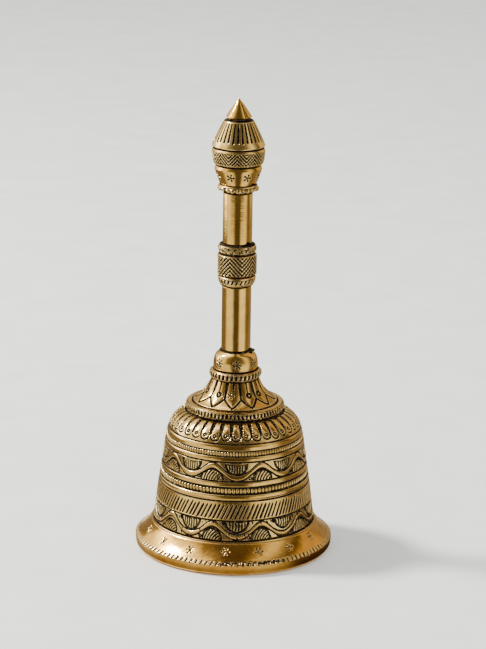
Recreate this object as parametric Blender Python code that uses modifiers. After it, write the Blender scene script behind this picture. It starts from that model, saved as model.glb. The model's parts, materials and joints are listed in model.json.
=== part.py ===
"""Brass puja bell: a turned and engraved hand bell with a rod-mounted handle and a chained clapper.

Metres, +Z up. The origin is the centre of the mouth's rim, in the plane that the bell stands on.
Every turned piece is a profile swept by a Screw modifier. Profiles are (radius, height) pairs in
millimetres, read down the outside from the top and then up the inside.
"""

import math

import bmesh
import bpy
from mathutils import Matrix, Vector

MM = 0.001

# Driving dimensions, in millimetres.
FIT = 0.3
SHELL_STEPS = 64
HANDLE_STEPS = 32
WIRE_STEPS = 24
WIRE_SIDES = 8

RIM_RADIUS = 38.0
RIM_FLAT_OUTER = 36.6
RIM_FLAT_INNER = 33.6
SHELL_TOP = 67.0
CROWN_UNDERSIDE = 60.0

ROD_RADIUS = 2.0
ROD_TOP = 170.5
ROD_FOOT = 53.3
BORE = ROD_RADIUS + FIT

# Heights of the handle's pieces, from the crown upwards.
NECK_RING = (67.3, 70.6)
COLLAR = (70.9, 78.0)
LOWER_TUBE = (78.3, 103.4)
MID_LOWER_RING = (103.7, 107.5)
MID_SLEEVE = (107.8, 115.9)
MID_UPPER_RING = (116.2, 119.5)
UPPER_TUBE = (119.8, 139.4)
FINIAL_RING = (139.7, 142.3)
CUP = (142.6, 150.0)
KNURLED_BAND = (150.3, 156.5)
DOME = (156.8, 166.8)
TIP_WASHER = (167.1, 167.6)
TIP = (167.9, 175.0)

TUBE_RADIUS = 5.6
TUBE_BORE = 4.4
TIP_HOLE_TOP = 170.8

# The clapper's hanging chain: the rod's eye, the link through it, and the clapper's own ring.
EYE_WIRE = 1.1
EYE_RADIUS = 3.2
EYE_CENTRE = 50.4
LINK_WIRE = 1.1
LINK_BEND = EYE_WIRE + LINK_WIRE + FIT
LINK_STRAIGHT = 2.6
LINK_PIVOT = EYE_CENTRE - EYE_RADIUS
CLAPPER_PIVOT = LINK_PIVOT - LINK_STRAIGHT - LINK_BEND
RING_WIRE = 0.95
RING_RADIUS = 2.4
STEM_RADIUS = 1.1
STEM_FOOT = 4.0
BALL_BORE = STEM_RADIUS + FIT

WASHER = (58.5, 59.7)
WASHER_RADIUS = 6.5
NUT = (55.0, 58.2)
NUT_FLATS = 7.0

# Finishes: base colour, roughness, metallic.
CAST_BRASS = ((0.56, 0.36, 0.12, 1.0), 0.34, 1.0)
TURNED_BRASS = ((0.64, 0.46, 0.20, 1.0), 0.24, 1.0)
DARK_BRASS = ((0.36, 0.24, 0.09, 1.0), 0.42, 1.0)
STEEL = ((0.45, 0.44, 0.42, 1.0), 0.38, 1.0)


def clear_scene():
    for obj in list(bpy.data.objects):
        bpy.data.objects.remove(obj, do_unlink=True)


def new_collection(name, in_render=True):
    collection = bpy.data.collections.new(name)
    collection.hide_render = not in_render
    bpy.context.scene.collection.children.link(collection)
    return collection


def move_to(obj, collection):
    for other in list(obj.users_collection):
        other.objects.unlink(obj)
    collection.objects.link(obj)


def finish_material(name, finish):
    colour, roughness, metallic = finish
    material = bpy.data.materials.new(name + "_finish")
    material.use_nodes = True
    shader = material.node_tree.nodes["Principled BSDF"]
    shader.inputs["Base Color"].default_value = colour
    shader.inputs["Roughness"].default_value = roughness
    shader.inputs["Metallic"].default_value = metallic
    return material


def arc(centre, radius, start, end, count):
    """Points (radius, height) on an arc from one angle to another, in degrees from +X, both ends in."""
    points = []
    for index in range(count + 1):
        angle = math.radians(start + (end - start) * index / count)
        points.append((centre[0] + radius * math.cos(angle), centre[1] + radius * math.sin(angle)))
    return points


def turned(name, profile, finish, pivot=0.0, closed=True, steps=HANDLE_STEPS):
    """A body of revolution about Z, with its origin at the pivot's height on the axis."""
    mesh = bpy.data.meshes.new(name)
    points = [(radius * MM, 0.0, (height - pivot) * MM) for radius, height in profile]
    edges = [(index, index + 1) for index in range(len(points) - 1)]
    if closed:
        edges.append((len(points) - 1, 0))
    mesh.from_pydata(points, edges, [])
    obj = bpy.data.objects.new(name, mesh)
    obj.location.z = pivot * MM
    obj.data.materials.append(finish_material(name, finish))
    PARTS.objects.link(obj)
    screw = obj.modifiers.new("Turn", "SCREW")
    screw.axis = "Z"
    screw.angle = math.tau
    screw.steps = steps
    screw.render_steps = steps
    screw.use_merge_vertices = True
    screw.merge_threshold = 0.00001
    screw.use_smooth_shade = True
    return obj


def bored(outside, bore=BORE):
    """A profile that closes along a straight bore, from its lowest outside point up to its highest."""
    return outside + [(bore, outside[-1][1]), (bore, outside[0][1])]


def mesh_object(name, mesh_data, collection, finish=None):
    mesh = bpy.data.meshes.new(name)
    mesh_data.to_mesh(mesh)
    mesh_data.free()
    obj = bpy.data.objects.new(name, mesh)
    collection.objects.link(obj)
    if finish:
        obj.data.materials.append(finish_material(name, finish))
    return obj


def cylinder(name, radius, bottom, top, collection, finish=None, sides=HANDLE_STEPS, pivot=0.0):
    shape = bmesh.new()
    middle = (bottom + top) / 2 - pivot
    bmesh.ops.create_cone(
        shape,
        cap_ends=True,
        segments=sides,
        radius1=radius * MM,
        radius2=radius * MM,
        depth=(top - bottom) * MM,
        matrix=Matrix.Translation(Vector((0.0, 0.0, middle * MM))),
    )
    obj = mesh_object(name, shape, collection, finish)
    obj.location.z = pivot * MM
    return obj


def ring_cutter(name, radius, wire, height):
    """A wire ring in the XZ plane, which is joined to another piece."""
    bpy.ops.mesh.primitive_torus_add(
        major_segments=WIRE_STEPS,
        minor_segments=WIRE_SIDES,
        major_radius=radius * MM,
        minor_radius=wire * MM,
        location=(0.0, 0.0, height * MM),
        rotation=(math.pi / 2, 0.0, 0.0),
    )
    obj = bpy.context.object
    obj.name = name
    move_to(obj, CUTTERS)
    return obj


def boolean(obj, other, operation):
    other.hide_render = True
    other.display_type = "WIRE"
    modifier = obj.modifiers.new(operation.title(), "BOOLEAN")
    modifier.operation = operation
    modifier.solver = "EXACT"
    modifier.object = other


def bell_shell():
    """The cast bell: neck, beaded moulding, shoulder, tapering body, flared mouth and rounded lip."""
    neck = [(9.2, SHELL_TOP), (10.0, 65.2), (11.1, 63.2), (12.7, 61.3), (14.3, 59.8), (16.2, 58.5)]
    moulding = [(17.3, 57.9), (18.3, 57.6), (18.85, 56.8), (18.7, 55.6), (18.1, 54.8)]
    shoulder = [(19.6, 54.3), (21.8, 53.0), (23.6, 51.4), (24.9, 49.6), (25.6, 47.9)]
    body = [(26.4, 44.5), (28.0, 33.9), (29.1, 26.7), (30.1, 19.1), (31.1, 12.0)]
    flare = [(31.6, 11.0), (32.8, 9.3), (34.5, 7.3), (36.3, 5.6), (RIM_RADIUS, 4.3)]
    lip = [(37.9, 2.4), (37.5, 0.8), (RIM_FLAT_OUTER, 0.0)]
    sound_bow = [(RIM_FLAT_INNER, 0.0), (33.2, 1.5), (31.9, 4.2), (30.0, 7.4), (28.4, 10.6)]
    inside = [(27.4, 14.5), (26.8, 19.0), (24.7, 33.5), (23.6, 41.0), (22.4, 46.0), (20.6, 49.6)]
    vault = [(17.8, 52.2), (14.6, 54.6), (11.6, 57.2), (9.0, 59.4), (7.8, CROWN_UNDERSIDE)]
    bore = [(BORE, CROWN_UNDERSIDE), (BORE, SHELL_TOP)]
    profile = neck + moulding + shoulder + body + flare + lip + sound_bow + inside + vault + bore
    turned("bell_shell", profile, CAST_BRASS, steps=SHELL_STEPS)


def bead_ring(name, span, radius, top_radius, foot_radius):
    """A ring with a rounded belly between two flat ends."""
    bottom, top = span
    middle = (bottom + top) / 2
    quarter = (top - bottom) / 4
    outside = [
        (top_radius, top),
        (radius - 0.25, middle + quarter),
        (radius, middle),
        (radius - 0.25, middle - quarter),
        (foot_radius, bottom),
    ]
    turned(name, bored(outside), DARK_BRASS)


def handle_tube(name, span):
    """A drawn tube, with a slight round at each end."""
    bottom, top = span
    edge = 0.25
    outside = [
        (TUBE_RADIUS - edge, top),
        (TUBE_RADIUS, top - edge),
        (TUBE_RADIUS, bottom + edge),
        (TUBE_RADIUS - edge, bottom),
    ]
    turned(name, bored(outside, TUBE_BORE), TURNED_BRASS)


def handle_collar():
    bottom, top = COLLAR
    outside = [(5.9, top), (6.4, 77.6), (7.5, 76.6), (8.15, 75.2), (8.45, 73.8), (8.55, 72.3), (8.3, bottom)]
    turned("handle_collar", bored(outside), TURNED_BRASS)


def mid_knurled_sleeve():
    bottom, top = MID_SLEEVE
    outside = [(7.2, top), (7.5, top - 0.6), (7.5, bottom + 0.6), (7.2, bottom)]
    turned("mid_knurled_sleeve", bored(outside), DARK_BRASS)


def finial():
    """The knob at the handle's top, from the cup up to the cone that screws onto the rod."""
    bottom, top = CUP
    cup = [(8.75, top), (8.95, 149.6), (8.8, 148.2), (8.15, 146.0), (7.4, 144.0), (6.8, bottom)]
    turned("finial_cup", bored(cup), TURNED_BRASS)

    bottom, top = KNURLED_BAND
    band = [(9.6, top), (9.95, 155.4), (9.95, 154.2), (9.8, 152.6), (9.5, 151.1), (9.0, bottom)]
    turned("finial_knurled_band", bored(band), DARK_BRASS)

    bottom, top = DOME
    dome = [(5.4, top), (5.75, 166.4), (7.5, 163.0), (9.2, 159.4), (9.8, 158.0), (9.95, 157.3), (9.7, bottom)]
    turned("finial_ribbed_dome", bored(dome), TURNED_BRASS)

    bottom, top = TIP_WASHER
    turned("finial_washer", bored([(4.45, top), (4.45, bottom)]), DARK_BRASS)

    bottom, top = TIP
    hole = [(BORE, bottom), (BORE, TIP_HOLE_TOP), (0.0, TIP_HOLE_TOP)]
    tip = [(0.0, top), (0.4, 174.5), (1.95, 172.5), (3.55, 170.2), (4.75, 168.3), (4.75, bottom)]
    turned("finial_cone_tip", tip + hole, TURNED_BRASS, closed=False)


def tie_rod():
    """The rod that strings the handle together, with an eye forged on its foot."""
    rod = cylinder("tie_rod", ROD_RADIUS, ROD_FOOT, ROD_TOP, PARTS, STEEL, sides=16)
    eye = ring_cutter("tie_rod_eye", EYE_RADIUS, EYE_WIRE, EYE_CENTRE)
    boolean(rod, eye, "UNION")
    rod.data.shade_smooth()
    rod.data.set_sharp_from_angle(angle=math.radians(30))


def crown_fasteners():
    bottom, top = WASHER
    turned("crown_washer", bored([(WASHER_RADIUS, top), (WASHER_RADIUS, bottom)]), STEEL)

    bottom, top = NUT
    corner = NUT_FLATS / math.sqrt(3)
    nut = cylinder("crown_nut", corner, bottom, top, PARTS, STEEL, sides=6)
    bore = cylinder("crown_nut_bore", BORE, bottom - 1.0, top + 1.0, CUTTERS, sides=16)
    boolean(nut, bore, "DIFFERENCE")


def link_points():
    """The link's closed centre line in the YZ plane, from its pivot: two half turns and two straights."""
    top = arc((0.0, 0.0), LINK_BEND, 0, 180, 10)
    bottom = arc((0.0, -LINK_STRAIGHT), LINK_BEND, 180, 360, 10)
    return top + bottom


def clapper_link():
    """The oval wire link, whose origin is where it hangs on the rod's eye."""
    curve = bpy.data.curves.new("clapper_link", "CURVE")
    curve.dimensions = "3D"
    curve.bevel_depth = LINK_WIRE * MM
    curve.bevel_resolution = 2
    spline = curve.splines.new("POLY")
    points = link_points()
    spline.points.add(len(points) - 1)
    for point, (across, height) in zip(spline.points, points):
        point.co = (0.0, across * MM, height * MM, 1.0)
    spline.use_cyclic_u = True
    obj = bpy.data.objects.new("clapper_link", curve)
    obj.location.z = LINK_PIVOT * MM
    curve.materials.append(finish_material("clapper_link", STEEL))
    PARTS.objects.link(obj)


def clapper():
    """The clapper: a stem with a ring at its top, and a drop-shaped ball cast round its foot."""
    ring_foot = CLAPPER_PIVOT - RING_RADIUS
    stem = cylinder(
        "clapper_stem", STEM_RADIUS, STEM_FOOT, ring_foot, PARTS, STEEL, sides=12, pivot=CLAPPER_PIVOT
    )
    ring = ring_cutter("clapper_stem_ring", RING_RADIUS, RING_WIRE, CLAPPER_PIVOT)
    boolean(stem, ring, "UNION")

    neck = [(2.4, 19.0), (2.9, 17.6), (4.0, 16.0)]
    belly = arc((0.0, 11.0), 6.2, 40, -62, 7)
    ball = neck + belly + [(2.2, 4.9)]
    turned("clapper_ball", bored(ball, BALL_BORE), DARK_BRASS, pivot=CLAPPER_PIVOT)


def build():
    clear_scene()
    bell_shell()
    bead_ring("neck_bead_ring", NECK_RING, 10.05, 8.6, 9.2)
    handle_collar()
    handle_tube("lower_handle_tube", LOWER_TUBE)
    bead_ring("mid_lower_bead_ring", MID_LOWER_RING, 7.25, 6.9, 6.2)
    mid_knurled_sleeve()
    bead_ring("mid_upper_bead_ring", MID_UPPER_RING, 7.3, 6.8, 6.8)
    handle_tube("upper_handle_tube", UPPER_TUBE)
    bead_ring("finial_bead_ring", FINIAL_RING, 8.05, 7.2, 6.8)
    finial()
    tie_rod()
    crown_fasteners()
    clapper_link()
    clapper()


PARTS = new_collection("brass_puja_bell")
CUTTERS = new_collection("cutters", in_render=False)
build()
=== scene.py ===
"""Looks of the brass puja bell: engraved relief, antique finish, floor, light and camera.

Lengths are in millimetres until a mesh is built. Angles round the bell are in degrees from its front, which
is -Y, and grow towards +X. An engraved outside is a grid whose rows go down a turned profile and whose
columns go round it. A pattern is a function that says how deep each point of the grid is cut.
"""

import json
import math

import bmesh
import bpy
import numpy as np
from mathutils import Matrix, Vector

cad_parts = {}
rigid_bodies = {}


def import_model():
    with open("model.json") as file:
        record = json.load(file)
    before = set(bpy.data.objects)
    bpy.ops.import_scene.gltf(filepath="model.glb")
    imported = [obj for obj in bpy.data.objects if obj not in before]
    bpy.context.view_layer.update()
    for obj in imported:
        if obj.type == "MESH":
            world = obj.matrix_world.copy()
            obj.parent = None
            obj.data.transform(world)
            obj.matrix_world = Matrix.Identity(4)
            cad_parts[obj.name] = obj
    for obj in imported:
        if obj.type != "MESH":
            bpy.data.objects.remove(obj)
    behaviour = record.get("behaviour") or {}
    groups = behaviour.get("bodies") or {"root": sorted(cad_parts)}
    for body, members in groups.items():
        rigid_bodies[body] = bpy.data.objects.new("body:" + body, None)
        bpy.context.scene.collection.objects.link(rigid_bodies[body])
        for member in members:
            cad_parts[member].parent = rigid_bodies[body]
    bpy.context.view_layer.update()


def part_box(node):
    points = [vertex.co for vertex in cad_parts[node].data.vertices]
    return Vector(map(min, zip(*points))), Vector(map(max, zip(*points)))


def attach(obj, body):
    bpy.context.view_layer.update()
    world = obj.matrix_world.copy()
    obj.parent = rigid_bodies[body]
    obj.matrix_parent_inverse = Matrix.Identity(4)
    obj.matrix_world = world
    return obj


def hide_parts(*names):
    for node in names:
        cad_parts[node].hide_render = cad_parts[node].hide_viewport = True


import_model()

MM = 0.001

# Heights of the shell's chased bands, which meet in the dark lines between them.
NECK_FOOT = 58.2
RING_FOOT = 54.45
SHOULDER_FOOT = 48.0
UPPER_MOULDINGS_FOOT = 41.4
UPPER_VINE_FOOT = 34.1
MIDDLE_MOULDINGS_FOOT = 26.7
HATCHING_FOOT = 19.2
LOWER_VINE_FOOT = 11.6
LINER_FOOT = 11.0

# The half width and depth of a usual cut line.
LINE_HALF = 0.38
LINE_DEPTH = 0.6

# ---- shapes of cuts


def unit(value):
    """The value, kept between 0 and 1."""
    return np.clip(value, 0.0, 1.0)


def groove(distance, half_width):
    """1 along the middle of a cut, falling to 0 at its edges."""
    return unit(1.0 - (distance / half_width) ** 2)


def ramp(low, high, value):
    """0 below low and 1 above high, with a soft change between them."""
    share = unit((value - low) / (high - low))
    return share * share * (3.0 - 2.0 * share)


def deepest(*cuts):
    """The deepest of several cuts at each point, so that crossing cuts don't add up."""
    result = cuts[0]
    for cut in cuts[1:]:
        result = np.maximum(result, cut)
    return result


class Grid:
    """A turned outside as a grid: by row r, z and s, the distance down the profile, and by column theta."""

    def __init__(self, profile, columns):
        radius, height = profile
        steps = np.hypot(np.diff(radius), np.diff(height))
        self.columns = columns
        self.r = radius[:, None]
        self.z = height[:, None]
        self.s = np.concatenate([[0.0], np.cumsum(steps)])[:, None]
        self.theta = (np.arange(columns) * 360.0 / columns)[None, :]

    def across(self, count, phase=0.0):
        """Distance round the piece to the nearest of count even places, and which place that is."""
        turns = (self.theta - phase) * count / 360.0
        index = np.round(turns)
        return (turns - index) * math.tau * self.r / count, index.astype(int) % count

    def below(self, height):
        """Distance along the profile from the given height, negative before it."""
        falls = self.z[0, 0] > self.z[-1, 0]
        turn = -1.0 if falls else 1.0
        return self.s - np.interp(turn * height, turn * self.z[:, 0], self.s[:, 0])

    def plain(self):
        return np.zeros((len(self.r), self.columns))

    def line(self, height, half_width=LINE_HALF, depth=LINE_DEPTH):
        """A cut line all the way round."""
        return depth * groove(self.below(height), half_width) + self.plain()


def chances(rng, count, index):
    """A function that draws a number for each of count places, and gives every point its own place's."""
    return lambda low, high: rng.uniform(low, high, count)[index]


def uneven_places(grid, rng, count, phase=0.0):
    """Distance round the piece to the nearest of count places, and the function that varies them."""
    along, index = grid.across(count, phase)
    return along, chances(rng, count, index)


def stripes(turns):
    """A wave between 0 and 1, with a crest at every whole turn."""
    return 0.5 + 0.5 * np.cos(math.tau * turns)


def sway(grid, rng, size, waves=7):
    """A slow, uneven wander round the piece, as a hand leaves it."""
    total = grid.plain()[:1]
    for wave in range(1, waves + 1):
        turn = np.radians(grid.theta) * wave + rng.uniform(0, math.tau)
        total = total + np.cos(turn) / math.sqrt(wave)
    return total * size / 2.0


def beads(grid, count, middle, half_height, depth, rng):
    """A row of rounded, slightly uneven beads: the dark gaps between them, and their round form."""
    along, vary = uneven_places(grid, rng, count)
    down = grid.below(middle) + vary(-0.08, 0.08) * half_height
    side = along / (math.pi * grid.r / count) / vary(0.82, 1.0)
    bead = np.sqrt(unit(1.0 - np.abs(side) ** 2.4 - np.abs(down / half_height) ** 2.6))
    row = np.abs(grid.below(middle)) < half_height + 0.3
    return depth * ramp(0.45, 0.9, 1.0 - bead) * row, depth * (1.0 - bead) * row


def notches(grid, places, down, half_width, half_length, depth):
    """Cuts with soft ends, at each of the given places, centred on the given distance down."""
    across = 1.0 - ramp(0.55, 1.0, np.abs(places) / half_width)
    along = 1.0 - ramp(0.75, 1.0, np.abs(down) / half_length)
    return depth * across * along


def ring_punch(along, down, radius, depth):
    """A round punch mark that leaves a standing dot in its middle."""
    distance = np.hypot(along, down)
    return depth * groove(distance - radius, 0.62 * radius)


def pit(along, down, radius, depth):
    """A round pit."""
    return depth * groove(np.hypot(along, down), radius)


def rosette_punch(along, down, size, depth, petals=6):
    """A small star of petal-shaped pits round a dot."""
    distance = np.hypot(along, down) / size
    angle = np.arctan2(down, along)
    petal = ramp(-0.1, 0.6, np.cos(petals * angle))
    return depth * deepest(petal * groove(distance - 0.66, 0.38), 0.9 * groove(distance - 0.2, 0.14))


def swelling(grid, azimuth, width, size):
    """A soft rise round one azimuth of a piece."""
    away = (grid.theta - azimuth + 180.0) % 360.0 - 180.0
    return size * np.exp(-((away / width) ** 2))


# ---- patterns of the chased bands


def neck_petals(grid, _):
    """Long petals with a centre vein, ending in points just above a thin line."""
    count = 12
    fork = grid.below(61.6)
    tip = grid.below(58.85)
    reach = fork - tip
    share = unit(-tip / reach)
    along, index = grid.across(count, -4.0)
    half = math.pi * grid.r / count
    pointed = np.abs(along) - half * share
    slant = np.where(share < 1.0, np.sqrt(1.0 + (half / reach) ** 2), 1.0)
    edge = np.where(tip > 0, np.hypot(along, tip), np.abs(pointed) / slant)
    vein_end = grid.below(62.6)
    fade = unit(-vein_end / 4.0)
    vein = groove(along, 0.2 + 0.2 * fade) * (1.0 - ramp(-0.4, 0.2, vein_end))
    petal = unit(np.abs(along) / np.maximum(half * share, 0.2))
    crown = 0.34 * petal**2 * ramp(0.0, 0.6, -pointed)
    lean = np.where(index % 2 == 0, -0.9, 0.3)
    star = np.where(index % 3 == 0, 1.0, 0.0)
    ring = ring_punch(along - lean, vein_end + 0.1, 0.82, 0.5)
    rosette = rosette_punch(along - lean, vein_end + 0.2, 1.35, 0.5, petals=5)
    wedge = unit(-fork / 4.5)
    slot = groove(np.abs(along) - half, 0.34 + 0.42 * wedge) * (1.0 - ramp(-0.5, 0.3, fork))
    ground = 0.22 * ramp(0.0, 0.5, pointed) * (tip < 0)
    cuts = deepest(
        0.75 * groove(edge, 0.5),
        0.8 * slot,
        0.6 * vein,
        ring * (1.0 - star) + rosette * star,
        grid.line(NECK_FOOT, 0.42, 0.6),
    )
    return cuts, deepest(cuts, crown, ground)


def beaded_moulding(grid, rng):
    """The raised ring under the petals: a row of dark uneven notches between two thin plain edges."""
    count = 78
    along, vary = uneven_places(grid, rng, count)
    wide = vary(0.85, 1.2)
    lean = vary(-0.22, 0.22)
    down = grid.below(56.35) + vary(-0.12, 0.12)
    waist = 0.46 + 0.12 * unit(np.abs(down) / 1.1)
    return deepest(
        notches(grid, along + lean * down, down, waist * wide, 1.2, 0.95),
        grid.line(NECK_FOOT, 0.42, 0.6),
        grid.line(57.75, 0.2, 0.3),
        grid.line(RING_FOOT, 0.62, 0.9),
    )


def tongue_petals(grid, rng):
    """Tongues round the shoulder, each in a dark slot and with a ring punched near its end."""
    count = 38
    along, vary = uneven_places(grid, rng, count, 1.5)
    along = along + vary(-0.14, 0.14)
    end = grid.below(50.75 + vary(-0.18, 0.18))
    widest = 1.5
    half = np.clip(widest + 0.15 * end, 0.85, widest)
    beyond = np.where(end < 0, np.abs(along) - half, np.hypot(along, end) - widest)
    slot = np.where(end < -0.4, 0.9, 0.5 + 0.22 * ramp(0.5, 1.6, end))
    outline = ramp(0.0, 0.12, beyond) * (1.0 - ramp(slot - 0.12, slot, beyond))
    crown = 0.16 * unit(np.abs(along) / widest) ** 2 * (beyond < 0)
    cuts = deepest(
        0.8 * outline,
        ring_punch(along + 0.1, end - 0.1, 0.55, 0.5),
        grid.line(RING_FOOT, 0.62, 0.9),
        grid.line(SHOULDER_FOOT, 0.36, 0.5),
    )
    return cuts, deepest(cuts, crown)


def mouldings(grid, beading, lines, ridges):
    """A bead row between four cut lines, with a rounded ridge between the outer two on each side.

    beading is what beads gives, each line has its height, half width and depth, and each ridge has its
    middle, half height and fall.
    """
    gaps, knobs = beading
    cuts = deepest(gaps, *[grid.line(*line) for line in lines])
    upper, lower = [
        fall * np.clip(grid.below(middle) / half, -1.0, 1.0) ** 2 for middle, half, fall in ridges
    ]
    upper = upper * (grid.z > lines[1][0])
    lower = lower * (grid.z < lines[2][0])
    return cuts, deepest(cuts, knobs, upper, lower)


def upper_mouldings(grid, rng):
    """A half-round, a fine bead row and a plain ridge."""
    lines = ((SHOULDER_FOOT, 0.36, 0.5), (45.45, 0.28, 0.5), (43.45, 0.26, 0.5), (UPPER_MOULDINGS_FOOT,))
    beading = beads(grid, 148, 44.45, 0.85, 0.55, rng)
    return mouldings(grid, beading, lines, ((46.75, 1.2, 0.26), (42.35, 0.95, 0.24)))


def middle_mouldings(grid, rng):
    """A coarser bead row between two plain ridges."""
    lines = ((UPPER_VINE_FOOT,), (31.9, 0.28, 0.6), (29.1, 0.28, 0.6), (MIDDLE_MOULDINGS_FOOT,))
    beading = beads(grid, 124, 30.5, 1.0, 0.75, rng)
    return mouldings(grid, beading, lines, ((33.0, 1.05, 0.24), (28.15, 0.95, 0.26)))


def leaf_strokes(turn, room, rim):
    """Dark hatching inside a leaf with a thick dark rim. room is the distance in from the leaf's edge."""
    return deepest(
        0.5 * ramp(rim, rim + 0.12, room) * ramp(0.3, 0.52, stripes(turn)),
        0.78 * (1.0 - ramp(rim - 0.14, rim, room)),
    )


def vine(grid, top, foot, count, crest, rng, busy):
    """A waving ribbon between two heights, with a hatched leaf in each of its bends.

    busy, 0 or 1, adds hammered marks on the ground between them.
    """
    middle = (top + foot) / 2
    swing = (top - foot) / 2 - 1.35
    turn = np.radians(grid.theta - crest) * count
    stem = middle + swing * np.cos(turn + 0.22 * np.sin(turn)) + sway(grid, rng, 0.25)
    slope = swing * np.sin(turn) * count / grid.r
    tilt = np.sqrt(1.0 + slope**2)
    ribbon = 0.5 + 0.35 * np.abs(np.cos(turn)) - 0.1 * busy
    aside = np.abs(grid.z - stem) / tilt

    under, vary = uneven_places(grid, rng, count, crest)
    under = under + 0.3 + vary(-0.4, 0.4)
    up = grid.z - foot - 0.4
    half_leaf = 4.5 * vary(0.9, 1.08)
    tall_leaf = 0.62 * (top - foot) * vary(0.9, 1.05)
    domed = 3.4 * (1.0 - np.hypot(under / half_leaf, up / tall_leaf))
    room_under = np.minimum(domed, stem - (ribbon + 0.2) * tilt - grid.z)
    fan = np.hypot(under - half_leaf, up + 1.4) / vary(0.95, 1.15)
    arch_leaf = leaf_strokes(fan, room_under, 0.7) * (room_under > 0) * (up > 0)

    over, vary = uneven_places(grid, rng, count, crest + 180.0 / count)
    over = over + vary(-0.4, 0.4)
    down = top - 1.2 + 0.6 * busy - grid.z + 0.12 * np.abs(over)
    half_boat = 4.7 * vary(0.9, 1.08)
    deep_boat = 0.58 * (top - foot) * vary(0.9, 1.05)
    hanging = 3.2 * (1.0 - np.hypot(over / half_boat, down / deep_boat))
    room_over = np.minimum(hanging, grid.z - stem - (ribbon + 0.2) * tilt)
    rake = np.hypot(over + half_boat + 1.0, down - 1.5) / vary(0.95, 1.15)
    boat_leaf = leaf_strokes(rake, room_over, 0.7) * (room_over > 0) * (down > 0)

    cuts = [
        0.6 * groove(aside - ribbon - 0.22, 0.34),
        arch_leaf,
        boat_leaf,
        0.45 * groove(down, 0.24) * (np.abs(over) < half_boat),
        ring_punch(under + half_leaf + 0.7, up - 0.8, 0.5, 0.45),
        grid.line(top),
        grid.line(foot),
    ]
    if busy:
        bare = (room_under < 0.2) & (room_over < 0.2)
        for pecks, height, drift in ((126, top - 0.95, 0.3), (118, foot + 0.95, 0.25), (132, middle, 2.0)):
            along, vary = uneven_places(grid, rng, pecks)
            along = along + vary(-0.2, 0.2)
            rise = grid.z - height + vary(-drift, drift)
            size = vary(0.05, 0.5)
            cuts.append(0.6 * groove(np.hypot(along + 0.4 * rise, 0.6 * rise) / size, 1.0) * bare)
        cuts.append(pit(over + half_boat, down - 0.9, 0.9, 0.8))
    cuts = deepest(*cuts)
    rounded = 0.28 * np.minimum(1.0, (aside / (ribbon + 0.1)) ** 2)
    swollen = 0.3 * unit(np.maximum(room_under, room_over) / 2.0)
    return cuts, deepest(cuts, rounded - swollen)


def upper_vine(grid, rng):
    """Nine waves of the ribbon on plain ground."""
    return vine(grid, UPPER_MOULDINGS_FOOT, UPPER_VINE_FOOT, 9, -17.0, rng, 0.0)


def lower_vine(grid, rng):
    """Ten waves of the ribbon on hammered ground."""
    return vine(grid, HATCHING_FOOT, LOWER_VINE_FOOT, 10, -15.0, rng, 1.0)


def leaning_strokes(grid, rng):
    """Leaning hand-cut strokes of uneven width below a plain margin, with a darker patch of painted shade
    in front.
    """
    count = 114
    lean = math.tan(math.radians(25.0))
    rise = grid.z - 22.5
    turns = (grid.theta / 360.0) * count - lean * rise * count / (math.tau * 29.6)
    index = np.round(turns).astype(int)
    vary = chances(rng, count, index % count)
    pitch = math.tau * grid.r / count
    along = (turns - index) * pitch + vary(-0.16, 0.16)
    width = vary(0.38, 0.54)
    head = 25.85 + vary(-0.4, 0.2)
    heel = 19.7 + vary(-0.1, 0.25)
    taper = ramp(0.0, 1.2, head - grid.z) * ramp(0.0, 0.4, grid.z - heel)
    width = width * (0.45 + 0.55 * taper)
    cut = vary(0.45, 0.62) * groove(along, width) * np.minimum(1.0, 2.0 * taper)
    cuts = deepest(
        cut,
        grid.line(MIDDLE_MOULDINGS_FOOT),
        grid.line(HATCHING_FOOT, 0.4, 0.6),
    )
    # The soft rise in front goes only into what holds grime: a patch of painted shade, not a change of
    # shape.
    return deepest(cuts, swelling(grid, 4.0, 13.0, 0.09)), cuts


def flared_mouth(grid, rng):
    """The plain flare: a thin bright edge at its top, scratched stars, and notches across its corner."""
    count = 116
    along, vary = uneven_places(grid, rng, count)
    wide = vary(0.34, 0.5)
    row = grid.below(4.75) + vary(-0.12, 0.12)
    strength = vary(0.5, 0.85) - swelling(grid, 8.0, 14.0, 0.3)
    star, vary = uneven_places(grid, rng, 16, -5.5)
    star = star + vary(-0.5, 0.5)
    height = grid.below(8.0) + vary(-0.6, 0.6)
    scratched = ramp(0.43, 0.52, grain(grid, rng, 1, 2))
    rope = grid.below(4.9)
    worn = swelling(grid, 10.0, 22.0, 0.3) * (1.0 - ramp(0.5, 1.0, np.abs(rope)))
    return deepest(
        grid.line(LOWER_VINE_FOOT, 0.5, 0.8),
        grid.line(10.75, 0.2, 0.12),
        notches(grid, along + 0.28 * row, row, wide, 1.0, strength),
        rosette_punch(star, height, 1.75, 0.45) * scratched,
        worn * scratched,
    )


def liner_marks(grid, rng):
    """The turned inside of the wall: shallow uneven tool rings."""
    depth = grid.plain()
    for height in np.arange(13.0, 57.0, 1.3):
        half_width = rng.uniform(0.3, 0.7)
        mark = grid.line(height + rng.uniform(-0.5, 0.5), half_width, rng.uniform(0.02, 0.09))
        depth = deepest(depth, mark)
    return depth


def neck_ring_notches(grid, middle):
    """Bold upright notches between two thin rims."""
    along, _ = grid.across(36, 2.0)
    down = grid.below(middle)
    return deepest(
        notches(grid, along + 0.12 * down, down, 0.6, 1.2, 0.9),
        grid.line(middle + 1.3, 0.16, 0.2),
        grid.line(middle - 1.35, 0.14, 0.2),
    )


def collar_rosettes(grid, height):
    """Seven dark rosettes round the collar."""
    along, _ = grid.across(7, 4.0)
    return rosette_punch(along, grid.below(height), 1.75, 0.6, petals=7)


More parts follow.
